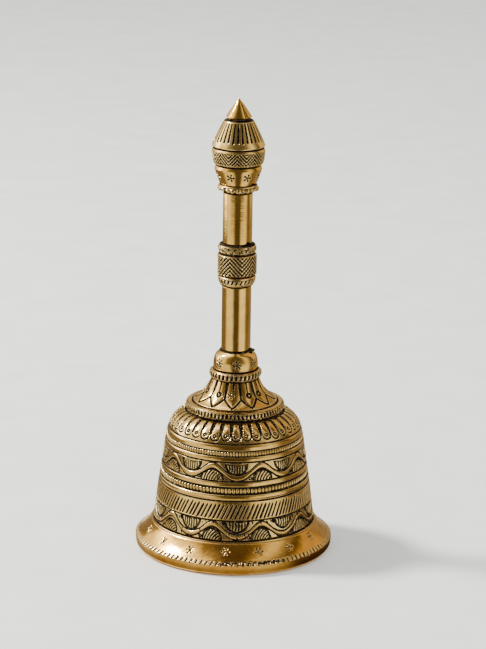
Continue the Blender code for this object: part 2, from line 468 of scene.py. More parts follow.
def leaf_ring(grid, middle, rng):
    """Slanted oval leaves chased round the ring, leaning one way and the other."""
    count = 17
    along, index = grid.across(count)
    vary = chances(rng, count, index)
    angle = np.radians(np.where(index % 2 == 0, 40.0, -32.0) + vary(-14, 14))
    down = grid.below(middle) + vary(-0.15, 0.15)
    forward = along * np.cos(angle) + down * np.sin(angle)
    aside = -along * np.sin(angle) + down * np.cos(angle)
    oval = np.hypot(forward / 1.2, aside / 0.6)
    gap, _ = grid.across(count, 180.0 / count)
    return deepest(
        0.55 * groove(oval - 1.0, 0.26),
        0.35 * groove(aside, 0.13) * (oval < 0.7),
        0.4 * groove(gap + 0.5 * down, 0.18) * (np.abs(down) < 1.1),
        grid.line(middle - 1.3, 0.15, 0.2),
    )


def rimmed_notches(grid, top, count):
    """A plain bright rim above slanted downward notches."""
    along, _ = grid.across(count)
    down = grid.below(top - 2.0)
    return deepest(
        notches(grid, along + 0.4 * down, down, 0.46, 0.95, 0.6),
        grid.line(top - 1.05, 0.2, 0.35),
    )


def zigzag(grid, top, foot, count, peak, pitch, slope):
    """Nested zigzag lines cut between two heights."""
    along, _ = grid.across(count, peak)
    strokes = stripes((grid.z + slope * np.abs(along)) / pitch)
    crossing = stripes((grid.z - slope * np.abs(along)) / pitch)
    inside = ramp(0.0, 0.25, top - grid.z) * ramp(0.0, 0.25, grid.z - foot)
    return 0.5 * inside * deepest(ramp(0.3, 0.6, strokes), 0.3 * ramp(0.75, 1.0, crossing))


def bead_knots(grid, middle, rng):
    """Uneven pitted knots that run into each other, as a worn ring of cast beads."""
    count = 23
    along, vary = uneven_places(grid, rng, count)
    side = (along + vary(-0.3, 0.3)) / (math.pi * grid.r / count)
    down = grid.below(middle + vary(-0.2, 0.2)) / 1.3
    bulge = np.sqrt(unit(1.0 - 0.8 * np.abs(side) ** 2 - 0.75 * np.abs(down) ** 2))
    cuts = 0.4 * ramp(0.75, 1.0, 1.0 - bulge)
    for pits, radius, offset in ((31, 0.3, 0.35), (37, 0.26, -0.45), (19, 0.38, 0.0)):
        around, vary = uneven_places(grid, rng, pits, 360.0 * rng.uniform())
        around = around + vary(-0.3, 0.3)
        fall = grid.below(middle) + offset + vary(-0.25, 0.25)
        cuts = deepest(cuts, pit(around, fall, radius, 0.45) * vary(0.2, 1.0))
    return cuts, deepest(cuts, 0.55 * (1.0 - bulge))


def star_punches(grid, height):
    """Eight small dark stars round the cup."""
    along, _ = grid.across(8, -20.3)
    return rosette_punch(along, grid.below(height), 1.6, 0.55, petals=5)


def flutes(grid, top, foot, rng):
    """Wide dark flutes down the dome, from its top edge to round ends above a plain rim."""
    count = 31
    along, vary = uneven_places(grid, rng, count, -1.6)
    along = along + vary(-0.06, 0.06)
    heel = grid.below(foot + vary(-0.25, 0.25))
    half = 0.265 * math.tau * grid.r / count
    beyond = np.where(heel < -half, np.abs(along), np.hypot(along, (heel + half) * 0.9))
    head = ramp(0.0, 0.3, grid.below(top))
    return 0.85 * groove(beyond, half) * head


def rolled_seam(grid, azimuth, point, notch):
    """The cone's overlapping seam from just under its point, with a small tear in it."""
    along, _ = grid.across(1, azimuth)
    return deepest(
        0.3 * groove(along, 0.22) * ramp(0.5, 1.2, grid.below(point - 0.4)),
        pit(along - 0.1, grid.below(notch), 0.4, 0.5),
    )


# ---- profiles and meshes


def curve(points, step):
    """Evenly spaced (radius, height) arrays along a smooth line through the points."""
    points = np.array(points, float)
    spans = np.linalg.norm(np.diff(points, axis=0), axis=1)
    knots = np.concatenate([[0.0], np.cumsum(spans)])
    rates = np.diff(points, axis=0) / spans[:, None]
    tangents = np.empty_like(points)
    tangents[0] = rates[0]
    tangents[-1] = rates[-1]
    before, after = spans[:-1, None], spans[1:, None]
    tangents[1:-1] = (rates[:-1] * after + rates[1:] * before) / (before + after)
    where = np.linspace(0.0, knots[-1], max(2, int(math.ceil(knots[-1] / step)) + 1))
    index = np.clip(np.searchsorted(knots, where, side="right") - 1, 0, len(spans) - 1)
    t = ((where - knots[index]) / spans[index])[:, None]
    span = spans[index][:, None]
    line = (
        (2 * t**3 - 3 * t**2 + 1) * points[index]
        + (t**3 - 2 * t**2 + t) * span * tangents[index]
        + (3 * t**2 - 2 * t**3) * points[index + 1]
        + (t**3 - t**2) * span * tangents[index + 1]
    )
    return line[:, 0], line[:, 1]


def joined(*runs):
    """One profile from several, which meet in corners."""
    radius = np.concatenate([run[0][1 if place else 0:] for place, run in enumerate(runs)])
    height = np.concatenate([run[1][1 if place else 0:] for place, run in enumerate(runs)])
    return radius, height


def between(profile, top, foot):
    """The stretch of a profile from one height down to another."""
    radius, height = profile
    inside = (height < top - 0.02) & (height > foot + 0.02)
    ends = np.interp([-top, -foot], -height, radius)
    return (
        np.concatenate([[ends[0]], radius[inside], [ends[1]]]),
        np.concatenate([[top], height[inside], [foot]]),
    )


def blurred(values, rows=2, columns=3):
    """The average of each point's neighbourhood on the grid."""
    total = values.copy()
    for shift in range(1, columns + 1):
        total += np.roll(values, shift, axis=1) + np.roll(values, -shift, axis=1)
    total /= 2 * columns + 1
    padded = np.pad(total, ((rows, rows), (0, 0)), mode="edge")
    return sum(padded[shift : shift + len(values)] for shift in range(2 * rows + 1)) / (2 * rows + 1)


def grain(grid, rng, rows, columns):
    """Blotches of chance, 0 to 1, a few grid points across."""
    return blurred(rng.uniform(0.0, 1.0, (len(grid.r), grid.columns)), rows, columns)


def linked(name, data):
    """A new object in the scene."""
    obj = bpy.data.objects.new(name, data)
    bpy.context.scene.collection.objects.link(obj)
    return obj


def on_bell(radius, height, angle):
    """Points at an angle round the bell from its front."""
    return np.stack([radius * np.sin(angle), -radius * np.cos(angle), height + 0 * angle], axis=-1)


def new_mesh(name, points, faces, layers):
    """A smooth mesh object from arrays, with its own unwrap and named values at its points."""
    quads, unwrap = faces
    mesh = bpy.data.meshes.new(name)
    mesh.vertices.add(len(points))
    mesh.vertices.foreach_set("co", (points * MM).astype(np.float32).ravel())
    mesh.loops.add(quads.size)
    mesh.loops.foreach_set("vertex_index", quads.astype(np.int32).ravel())
    mesh.polygons.add(len(quads))
    mesh.polygons.foreach_set("loop_start", np.arange(0, quads.size, 4, dtype=np.int32))
    mesh.update(calc_edges=True)
    layer = mesh.uv_layers.new(name="OFBake")
    layer.data.foreach_set("uv", unwrap.astype(np.float32).ravel())
    for key, values in layers.items():
        attribute = mesh.attributes.new(key, "FLOAT", "POINT")
        attribute.data.foreach_set("value", values.astype(np.float32).ravel())
    mesh.shade_smooth()
    return linked(name, mesh)


def grid_faces(shares, columns, closed):
    """Quads between neighbouring rows, all the way round, and their unwrap.

    shares says how far down the unwrap each row lies. Rows that close into a ring need one more, for the
    first row again.
    """
    last = len(shares) - 1
    row, column = np.mgrid[:last, :columns]
    below = (row + 1) % last if closed else row + 1
    right = (column + 1) % columns
    corners = ((row, column), (below, column), (below, right), (row, right))
    quads = np.stack([high * columns + side for high, side in corners], axis=-1).reshape(-1, 4)
    left_u, right_u = column / columns, (column + 1) / columns
    high, low = shares[row], shares[row + 1]
    unwrap = [left_u, high, left_u, low, right_u, low, right_u, high]
    return quads, np.stack(unwrap, axis=-1).reshape(-1, 2)


def weld_poles(obj):
    """Merges the rows that lie on the axis into single points."""
    shape = bmesh.new()
    shape.from_mesh(obj.data)
    poles = [vertex for vertex in shape.verts if math.hypot(vertex.co.x, vertex.co.y) < 1e-7]
    bmesh.ops.remove_doubles(shape, verts=poles, dist=1e-6)
    shape.to_mesh(obj.data)
    shape.free()


def turned(name, grid, relief, inner, closed=True, end_darkening=0.0, lift=0.0, swell=0.0, sharp=62.0):
    """A turned piece, cut in from its outside. The inner points lead from its foot back to its top.

    relief is the depth at each point, or the pair of the cuts that hold grime and the whole depth. A piece
    that isn't closed starts and ends on the axis. end_darkening is how far in from both ends the outside is
    blackened, evenly all round. lift and swell move the middle of the outside up and out, by column. Edges
    that turn by more than sharp degrees stay crisp.
    """
    cuts, depth = relief if isinstance(relief, tuple) else (relief, relief)
    tangent_r = np.gradient(grid.r[:, 0])
    tangent_z = np.gradient(grid.z[:, 0])
    length = np.hypot(tangent_r, tangent_z)
    normal_r = (-tangent_z / length)[:, None]
    normal_z = (tangent_r / length)[:, None]
    middle = np.sqrt(np.sin(math.pi * grid.s / grid.s[-1]).clip(0.0))
    radius = grid.r - normal_r * depth + swell * middle
    height = grid.z - normal_z * depth + lift * middle
    inner = np.array(inner, float).reshape(-1, 2)
    ones = np.ones((1, grid.columns))
    radius = np.vstack([radius, inner[:, :1] * ones])
    height = np.vstack([height, inner[:, 1:] * ones])
    points = on_bell(radius, height, np.radians(grid.theta)).reshape(-1, 3)

    path = np.vstack([np.hstack([grid.r[:, :1], grid.z]), inner])
    path = np.vstack([path, path[:1]]) if closed else path
    steps = np.maximum(np.hypot(*np.diff(path, axis=0).T), 0.01)
    shares = np.concatenate([[0.0], np.cumsum(steps)]) / np.sum(steps)

    near = blurred(cuts)
    held = unit(ramp(0.04, 0.16, cuts) + 0.35 * near)
    bare = np.full((len(inner), grid.columns), 0.25)
    if end_darkening:
        from_end = np.minimum(grid.s, grid.s[-1] - grid.s)
        held = np.maximum(held, 1.0 - ramp(0.5 * end_darkening, end_darkening, from_end))
        bare = bare + 0.75
    # Beside the cuts the edges count as worn, and the material also paints a highlight on them.
    layers = {
        "patina": np.vstack([held, bare]),
        "wear_and_highlight": np.vstack([unit((near - cuts) * 6.0), 0.0 * bare]),
    }
    obj = new_mesh(name, points, grid_faces(shares, grid.columns, closed), layers)
    obj.data.set_sharp_from_angle(angle=math.radians(sharp))
    if not closed:
        weld_poles(obj)
    return obj


def adopt(piece, finish, body, *nodes):
    """Gives a new piece its finish and its body, and lets it stand for CAD nodes."""
    material, slot = finish
    piece.data.materials.append(material)
    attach(piece, body)
    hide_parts(*nodes)
    return piece


def extent(node):
    """Foot, top and outer radius of a CAD node, in millimetres."""
    low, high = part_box(node)
    return low.z / MM, high.z / MM, high.x / MM


# ---- finishes


def linear(red, green, blue):
    """A colour given as it looks on screen, 0 to 255, in the shader's linear values."""
    values = []
    for channel in (red, green, blue):
        share = channel / 255.0
        values.append(share / 12.92 if share <= 0.04045 else ((share + 0.055) / 1.055) ** 2.4)
    return (*values, 1.0)


# The Mix node's sockets for colours.
MIX_A, MIX_B, MIX_RESULT = 6, 7, 2


class Finish:
    """A node material around one Principled shader. A source is a value, or the output of another node."""

    def __init__(self, name):
        self.material = bpy.data.materials.new(name)
        self.material.use_nodes = True
        self.place = self.node("TexCoord", {}, "Object")

    def feed(self, node, sources):
        """Gives each of a node's inputs its source."""
        for key, source in sources.items():
            if isinstance(source, bpy.types.NodeSocket):
                self.material.node_tree.links.new(source, node.inputs[key])
            elif source is not None:
                node.inputs[key].default_value = source

    def node(self, kind, sources, output=0, **settings):
        """One output of a new node."""
        node = self.material.node_tree.nodes.new("ShaderNode" + kind)
        for key, value in settings.items():
            setattr(node, key, value)
        self.feed(node, sources)
        return node.outputs[output]

    def noise(self, scale, detail=3.0, stretch=(1.0, 1.0, 1.0)):
        place = self.node("Mapping", {"Vector": self.place, "Scale": stretch})
        return self.node("TexNoise", {"Vector": place, "Scale": scale, "Detail": detail, "Roughness": 0.55})

    def value(self, name):
        """A value that the mesh holds at its points."""
        return self.node("Attribute", {}, "Fac", attribute_name=name)

    def spread(self, source, low, high, to_low=0.0, to_high=1.0):
        """The source, stretched from one range to another."""
        ranges = {"From Min": low, "From Max": high, "To Min": to_low, "To Max": to_high}
        return self.node("MapRange", {"Value": source, **ranges})

    def combine(self, operation, first, second):
        clamp = operation in ("ADD", "MULTIPLY")
        return self.node("Math", {0: first, 1: second}, operation=operation, use_clamp=clamp)

    def mix(self, share, first, second):
        return self.node("Mix", {0: share, MIX_A: first, MIX_B: second}, MIX_RESULT, data_type="RGBA")

    def bump(self, height, distance, strength, before=None):
        sources = {"Height": height, "Distance": distance * MM, "Strength": strength, "Normal": before}
        return self.node("Bump", sources)

    def shade(self, sources):
        """Feeds the shader, and gives the finished material."""
        self.feed(self.material.node_tree.nodes["Principled BSDF"], sources)
        return self.material


METAL = (230, 190, 114)
TARNISH = (182, 142, 72)
GRIME = linear(24, 18, 12)
# Pale cream for the painted highlight along the edges of the cuts.
PAINTED_EDGE_HIGHLIGHT = linear(246, 226, 178)


def antique_brass(name, slot, metal, tarnish, rough, turning=0.0, waviness=0.22):
    """Polished high parts with a painted highlight along the edges of the cuts, warm uneven tarnish, and
    dark grime held in the recesses.
    """
    finish = Finish(name)
    wear_and_highlight = finish.value("wear_and_highlight")
    clouds = finish.spread(finish.noise(95.0, 4.0), 0.38, 0.66, 0.0, 0.75)
    smudges = finish.spread(finish.noise(420.0, 5.0), 0.50, 0.72, 0.0, 0.6)
    specks = finish.spread(finish.noise(2600.0, 2.0), 0.64, 0.72, 0.0, 0.75)
    tarnished = finish.combine("ADD", clouds, finish.combine("MULTIPLY", smudges, 0.6))
    polished = finish.combine("MULTIPLY", tarnished, finish.spread(wear_and_highlight, 0.0, 1.0, 1.0, 0.1))
    colour = finish.mix(polished, linear(*metal), linear(*tarnish))
    # Painted highlight: the edges beside the cuts are mixed towards pale cream.
    colour = finish.mix(finish.combine("MULTIPLY", wear_and_highlight, 0.7), colour, PAINTED_EDGE_HIGHLIGHT)
    uneven = finish.spread(finish.noise(800.0, 3.0), 0.3, 0.6, 0.8, 1.2)
    held = finish.combine("MULTIPLY", finish.value("patina"), uneven)
    dirt = finish.combine("MAXIMUM", held, finish.combine("MULTIPLY", specks, 0.55))
    smooth = finish.spread(finish.noise(300.0, 4.0), 0.3, 0.7, *rough)
    normal = finish.bump(finish.noise(230.0, 2.0), 0.3, waviness)
    normal = finish.bump(finish.noise(1700.0, 3.0), 0.05, 0.15, normal)
    if turning:
        rings = finish.noise(2200.0, 2.0, stretch=(0.02, 0.02, 1.0))
        normal = finish.bump(rings, 0.03, turning, normal)
    material = finish.shade({
        "Base Color": finish.mix(dirt, colour, GRIME),
        "Metallic": finish.spread(dirt, 0.45, 0.95, 1.0, 0.0),
        "Specular IOR Level": finish.spread(dirt, 0.2, 0.9, 0.5, 0.06),
        "Roughness": finish.combine("ADD", smooth, finish.spread(dirt, 0.0, 1.0, 0.0, 0.4)),
        "Normal": normal,
    })
    return material, slot


def stained_steel():
    """Plain iron wire and fasteners, slightly stained."""
    finish = Finish("stained_steel")
    stains = finish.spread(finish.noise(240.0, 5.0), 0.42, 0.68)
    scratches = finish.noise(1500.0, 3.0, stretch=(1.0, 1.0, 0.15))
    material = finish.shade({
        "Base Color": finish.mix(stains, linear(150, 146, 140), linear(92, 80, 66)),
        "Metallic": 0.9,
        "Roughness": finish.spread(finish.noise(600.0, 4.0), 0.3, 0.7, 0.3, 0.5),
        "Normal": finish.bump(scratches, 0.04, 0.3),
    })
    return material, "steel"


def pale_floor():
    """Pale matt plaster with a faint grain."""
    finish = Finish("pale_floor")
    blotches = finish.spread(finish.noise(35.0, 6.0), 0.35, 0.65)
    return finish.shade({
        "Base Color": finish.mix(blotches, linear(231, 232, 228), linear(238, 239, 235)),
        "Roughness": 0.95,
        "Specular IOR Level": 0.1,
        "Normal": finish.bump(finish.noise(900.0, 4.0), 0.2, 0.25),
    })


# Each finish is a material and the record's slot for it.
CAST = antique_brass("chased_cast_brass", "cast_brass", METAL, TARNISH, (0.08, 0.18), waviness=0.5)
# The flare's warmer, more orange brass is a painted reflection of a warm tan room round it.
FLARE = antique_brass("flare_brass_warm_reflection", "cast_brass", (232, 184, 100), (198, 140, 60), (0.1, 0.22))
INSIDE = antique_brass(
    "inside_brass", "cast_brass", (150, 116, 62), (96, 70, 34), (0.38, 0.55), turning=0.5
)
TURNED = antique_brass(
    "turned_brass", "turned_brass", (228, 188, 108), (202, 158, 78), (0.08, 0.17), turning=0.3
)
CHASED = antique_brass("chased_ring_brass", "antique_brass", (238, 204, 138), (192, 156, 94), (0.12, 0.24))
# The ribbed dome's brass is a brighter copy of the turned brass: partly worn polish, partly a painted
# highlight.
WORN_HIGHLIT = antique_brass("worn_highlit_rib_brass", "turned_brass", (248, 220, 152), (226, 186, 112), (0.1, 0.2))
STEEL = stained_steel()

# ---- the shell

# The rod's hole, the usual spacing of a profile's points, and how far in from its ends a handle piece is
# blackened.
BORE = 2.3
STEP = 0.12
END_DARKENING = 0.42


def mid_wall(height):
    """Radius of the middle of the shell's wall, where the bands' backs and the liner's back meet."""
    heights = [11.0, 19.0, 33.5, 41.0, 46.0, 49.6, 54.0, 58.2]
    return float(np.interp(height, heights, [29.5, 28.4, 26.3, 25.0, 23.9, 22.6, 16.8, 13.5]))


def band(pattern, profile, columns, rng, back=None):
    """A chased band of the shell's outside, named after its pattern."""
    grid = Grid(profile, columns)
    low, high = float(grid.z[-1, 0]), float(grid.z[0, 0])
    back = back or [(mid_wall(height), height) for height in (low, (low + high) / 2, high)]
    adopt(turned(pattern.__name__, grid, pattern(grid, rng), back), CAST, "bell", "bell_shell")


def shell_pieces():
    """The shell's wall as chased bands on a turned liner, all riding on the bell."""
    _, top, rim = extent("bell_shell")
    rng = np.random.default_rng(7)
    neck = [(9.2, top), (10.0, 65.2), (11.1, 63.2), (12.7, 61.3), (14.3, 59.8), (16.4, NECK_FOOT)]
    swell = [(17.2, 58.0), (18.4, 57.7), (18.85, 57.0), (18.85, 55.6), (18.3, 54.9)]
    moulding = joined(curve([neck[-1]] + swell, 0.1), curve([swell[-1], (18.6, RING_FOOT)], 0.1))
    shoulder = [(18.6, RING_FOOT), (19.6, 54.2), (21.8, 53.0), (23.6, 51.4), (24.9, 49.6)]
    shoulder_end = (25.57, SHOULDER_FOOT)
    wall = [(26.4, 44.5), (28.0, 33.9), (29.1, 26.7), (30.1, 19.1), (31.1, LOWER_VINE_FOOT)]
    body = curve([shoulder[-1], shoulder_end] + wall, STEP)

    crown_back = [(13.5, NECK_FOOT), (9.0, 61.0), (BORE, 61.0), (BORE, top)]
    band(neck_petals, curve(neck, STEP), 960, rng, crown_back)
    band(beaded_moulding, moulding, 1248, rng)
    band(tongue_petals, curve(shoulder + [shoulder_end], STEP), 1216, rng)
    start = SHOULDER_FOOT
    for pattern, foot, columns in (
        (upper_mouldings, UPPER_MOULDINGS_FOOT, 1776),
        (upper_vine, UPPER_VINE_FOOT, 1584),
        (middle_mouldings, MIDDLE_MOULDINGS_FOOT, 1620),
        (leaning_strokes, HATCHING_FOOT, 1596),
        (lower_vine, LOWER_VINE_FOOT, 1600),
    ):
        band(pattern, between(body, start, foot), columns, rng)
        start = foot

    edge = (rim, 4.3)
    flare = curve([wall[-1], (31.6, 11.0), (32.8, 9.3), (34.5, 7.3), (36.3, 5.6), edge], 0.17)
    lip = curve([edge, (rim - 0.1, 2.4), (rim - 0.5, 0.8), (36.6, 0.0)], 0.2)
    radius, height = joined(flare, lip)
    mouth = Grid((np.minimum(radius, rim), np.maximum(height, 0.0)), 1160)
    bow = curve([(33.6, 0.0), (33.2, 1.5), (31.9, 4.2), (30.0, 7.4), (28.4, 10.6)], 0.8)
    piece = turned("flared_mouth", mouth, flared_mouth(mouth, rng), [*zip(*bow), (29.2, LINER_FOOT)])
    adopt(piece, FLARE, "bell", "bell_shell")
    bell_inner_wall(rng)


def bell_inner_wall(rng):
    """The inside of the wall as one turned piece, from the sound bow up to the flat under the crown."""
    crown = 60.0
    wall = [(28.3, LINER_FOOT), (27.4, 14.5), (26.8, 19.0), (24.7, 33.5), (23.6, 41.0), (22.4, 46.0)]
    vault = [(20.6, 49.6), (17.8, 52.2), (14.6, 54.6), (11.6, 57.2), (9.0, 59.4), (7.8, crown)]
    radius, height = joined(curve(wall + vault, 0.35), curve([(7.8, crown), (BORE, crown)], 0.5))
    grid = Grid((radius, height + 1e-4 * np.arange(len(height))), 420)
    back = [(BORE, crown + 0.95), (8.8, crown + 0.95), (13.2, NECK_FOOT)]
    back = back + [(mid_wall(z), z) for z in (54.0, 49.6, 46.0, 41.0, 33.5, 19.0, LINER_FOOT)]
    piece = turned("bell_inner_wall", grid, liner_marks(grid, rng), back)
    adopt(piece, INSIDE, "bell", "bell_shell")


# ---- the handle


def handle_piece(node, runs, columns, pattern, finish, bore=BORE, step=STEP, **shape):
    """A turned handle piece that stands for its CAD node, blackened where it meets its neighbours.

    shape holds turned's lift and swell, each as a function of the grid.
    """
    grid = Grid(joined(*[curve(run, step) for run in runs]), columns)
    back = [(bore, float(grid.z[-1, 0])), (bore, float(grid.z[0, 0]))]
    depth = pattern(grid) if pattern else grid.plain()
    bends = {key: value(grid) for key, value in shape.items()}
    piece = turned(node + "_engraved", grid, depth, back, end_darkening=END_DARKENING, **bends)
    adopt(piece, finish, "bell", node)


def belly(foot, top, radius, top_radius, foot_radius):
    """The rounded outside of a bead ring."""
    middle, quarter = (foot + top) / 2, (top - foot) / 4
    return [
        (top_radius, top),
        (radius - 0.3, middle + 1.3 * quarter),
        (radius, middle + 0.3 * quarter),
        (radius, middle - 0.3 * quarter),
        (radius - 0.3, middle - 1.3 * quarter),
        (foot_radius, foot),
    ]


def chamfered(foot, top, radius, end_radius, chamfer):
    """The outside of a straight piece with chamfered ends, in three runs."""
    upper, lower = (radius, top - chamfer), (radius, foot + chamfer)
    return [(end_radius, top), upper], [upper, lower], [lower, (end_radius, foot)]


def handle_foot(rng):
    """The notched ring on the crown, the collar with its rosettes, and the two plain tubes."""
    foot, top, radius = extent("neck_bead_ring")
    handle_piece("neck_bead_ring", [belly(foot, top, radius, 8.6, 9.2)], 648,
                 lambda s: neck_ring_notches(s, (foot + top) / 2), CHASED,
                 lift=lambda s: swelling(s, 75.0, 45.0, 0.35) + sway(s, rng, 0.1))

    foot, top, radius = extent("handle_collar")
    collar = [(5.9, top), (6.4, top - 0.4), (7.5, top - 1.4), (8.15, top - 2.8), (8.45, top - 4.2)]
    collar = collar + [(radius, top - 5.7), (8.3, foot)]
    handle_piece("handle_collar", [collar], 600, lambda s: collar_rosettes(s, top - 4.1), TURNED)

    for node in ("lower_handle_tube", "upper_handle_tube"):
        foot, top, radius = extent(node)
        edge = 0.25
        outline = chamfered(foot, top, radius, radius - edge, edge)
        handle_piece(node, outline, 256, None, TURNED, bore=4.4, step=0.25)


def handle_middle(rng):
    """The zigzag sleeve between the tubes, with a notched ring under it and a ring of leaves over it."""
    foot, top, radius = extent("mid_lower_bead_ring")
    ring = [(6.7, top), (radius, top - 0.55), (radius - 0.05, top - 1.0), (radius - 0.35, top - 2.4)]
    handle_piece("mid_lower_bead_ring", [ring + [(6.2, foot)]], 480,
                 lambda s: rimmed_notches(s, top, 26), CHASED, step=0.1,
                 lift=lambda s: sway(s, rng, 0.12))

    foot, top, radius = extent("mid_knurled_sleeve")
    handle_piece("mid_knurled_sleeve", chamfered(foot, top, radius, 6.8, 0.4), 720,
                 lambda s: zigzag(s, top - 0.35, foot + 0.35, 5, -20.6, 1.6, 1.05), CHASED, step=0.09)

    foot, top, radius = extent("mid_upper_bead_ring")
    handle_piece("mid_upper_bead_ring", [belly(foot, top, radius, 6.8, 6.8)], 544,
                 lambda s: leaf_ring(s, (foot + top) / 2, rng), CHASED, step=0.09,
                 lift=lambda s: swelling(s, -70.0, 50.0, 0.3))


def finial_foot(rng):
    """The knotted ring, the cup with its stars, and the wide zigzag band."""
    foot, top, radius = extent("finial_bead_ring")
    handle_piece("finial_bead_ring", [belly(foot, top, radius, 7.2, 6.8)], 552,
                 lambda s: bead_knots(s, (foot + top) / 2, rng), CHASED, step=0.08,
                 lift=lambda s: swelling(s, -60.0, 35.0, 0.45) + sway(s, rng, 0.2),
                 swell=lambda s: swelling(s, -50.0, 30.0, 0.25) - 0.15)

    foot, top, radius = extent("finial_cup")
    rim, corner = (radius, top - 1.35), (8.85, top - 1.9)
    lip = [(8.0, top), (8.4, top - 0.25), rim]
    bowl = [corner, (8.15, top - 4.0), (7.4, top - 6.0), (6.8, foot)]
    handle_piece("finial_cup", [lip, [rim, corner], bowl], 600,
                 lambda s: star_punches(s, top - 3.9), TURNED)

    foot, top, radius = extent("finial_knurled_band")
    wide = [(9.5, top), (radius, top - 0.8), (radius, top - 2.3), (9.8, top - 3.9), (9.5, top - 5.4)]
    handle_piece("finial_knurled_band", [wide + [(9.0, foot)]], 864,
                 lambda s: zigzag(s, top - 0.9, foot + 0.4, 9, -2.0, 1.42, 1.1), CHASED, step=0.09)


def finial_top(rng):
    """The ribbed dome, its washer, and the cone that closes the handle."""
    foot, top, radius = extent("finial_ribbed_dome")
    shoulder, rim = (5.75, top - 0.4), (radius, top - 9.5)
    side = [shoulder, (7.5, top - 3.8), (9.2, top - 7.4), (9.8, top - 8.8), rim]
    handle_piece("finial_ribbed_dome", [[(5.4, top), shoulder], side, [rim, (9.7, foot)]], 744,
                 lambda s: flutes(s, top - 0.4, foot + 2.4, rng), WORN_HIGHLIT)

    foot, top, radius = extent("finial_washer")
    washer = [(radius - 0.12, top), (radius, top - 0.15), (radius, foot + 0.15), (radius - 0.12, foot)]
    handle_piece("finial_washer", [washer], 192, None, CHASED, step=0.08)

    foot, top, radius = extent("finial_cone_tip")
    waist, flank = (3.55, top - 4.8), (radius, top - 6.7)
    point = [(0.0, top), (0.25, top - 0.12), (0.5, top - 0.6), (1.95, top - 2.5), waist]
    runs = (point, [waist, flank], [flank, (radius, foot)])
    grid = Grid(joined(*[curve(run, 0.15) for run in runs]), 448)
    seam = rolled_seam(grid, 32.0, top, top - 2.6)
    hole = [(BORE, foot), (BORE, foot + 2.9), (0.0, foot + 2.9)]
    tip = turned("finial_cone_tip_turned", grid, seam, hole, closed=False)
    adopt(tip, TURNED, "bell", "finial_cone_tip")


def handle_pieces():
    """Everything that the rod holds above the bell, from the crown up."""
    rng = np.random.default_rng(11)
    handle_foot(rng)
    handle_middle(rng)
    finial_foot(rng)
    finial_top(rng)


def crooked_washers():
    """Thin blackened washers at the tubes' feet and over the bead ring, bent up where their ends meet."""
    hole = 5.75
    # Each one's neighbour below, how far it sinks in, its radius, and its bend's azimuth, reach and rise.
    for name, node, sunk, radius, azimuth, reach, rise in (
        ("collar_seat_washer", "handle_collar", 0.15, 6.3, 78.0, 1.2, 0.4),
        ("ring_seat_washer", "mid_upper_bead_ring", 0.15, 6.6, 56.0, 0.8, 0.9),
        ("bead_seat_washer", "finial_bead_ring", 0.25, 7.4, 58.0, 0.7, 0.3),
    ):
        _, node_top, _ = extent(node)
        height = node_top - sunk
        top, foot = height + 0.3, height - 0.25
        rim = [(radius - 0.1, height + 0.25), (radius, height), (radius - 0.1, height - 0.2)]
        grid = Grid(curve([(hole, top)] + rim + [(hole, foot)], 0.08), 288)
        swell = swelling(grid, azimuth, 16.0, reach)
        lift = swelling(grid, azimuth, 20.0, rise)
        inner = [(hole - 0.05, foot), (hole - 0.05, top)]
        piece = turned(name, grid, grid.plain(), inner, end_darkening=2.0, lift=lift, swell=swell)
        adopt(piece, CHASED, "bell", node)


# ---- fixings and clapper

# Heights and radii of the wire rings, as in the CAD.
EYE_CENTRE = 50.4
EYE_RADIUS = 3.2
LINK_PIVOT = 47.2
CLAPPER_PIVOT = 42.1
STEM_RING_RADIUS = 2.4
WIRE_RADIUS = 1.1


def wire(name, centre, normal, radius, sides=24):
    """A round wire along a flat closed centre line, slightly uneven as drawn iron is."""
    ahead = np.roll(centre, -1, axis=0) - np.roll(centre, 1, axis=0)
    ahead /= np.linalg.norm(ahead, axis=1)[:, None]
    aside = np.cross(ahead, normal)
    rows = len(centre)
    angle = (np.arange(sides) * math.tau / sides)[None, :, None]
    along = (np.arange(rows) * math.tau / rows)[:, None, None]
    waver = np.cos(5.0 * along + np.cos(angle) + 2.0 * np.sin(2.0 * along))
    uneven = radius * (1.0 - 0.025 * (1.0 + waver) / 2.0)
    rounds = np.cos(angle) * aside[:, None, :] + np.sin(angle) * np.array(normal, float)
    points = (centre[:, None, :] + uneven * rounds).reshape(-1, 3)
    layers = {"patina": np.full(len(points), 0.2), "wear_and_highlight": np.zeros(len(points))}
    return new_mesh(name, points, grid_faces(np.arange(rows + 1) / rows, sides, True), layers)


def upright_ring(radius, height, count=96):
    """The centre line of a ring that stands in the XZ plane."""
    angle = np.arange(count) * math.tau / count
    return np.stack([radius * np.cos(angle), 0 * angle, height + radius * np.sin(angle)], axis=-1)


def long_link(bend, straight, height, count=40):
    """The centre line of a link with round ends, in the YZ plane, hanging from its upper bend's centre."""
    turn = np.linspace(0.0, math.pi, count)
    upper = np.stack([0 * turn, bend * np.cos(turn), height + bend * np.sin(turn)], axis=-1)
    lower = np.stack([0 * turn, -bend * np.cos(turn), height - straight - bend * np.sin(turn)], axis=-1)
    share = np.linspace(0.0, 1.0, 12)[1:-1, None]
    down = upper[-1] + (lower[0] - upper[-1]) * share
    up = lower[-1] + (upper[0] - lower[-1]) * share
    return np.concatenate([upper, down, lower, up])


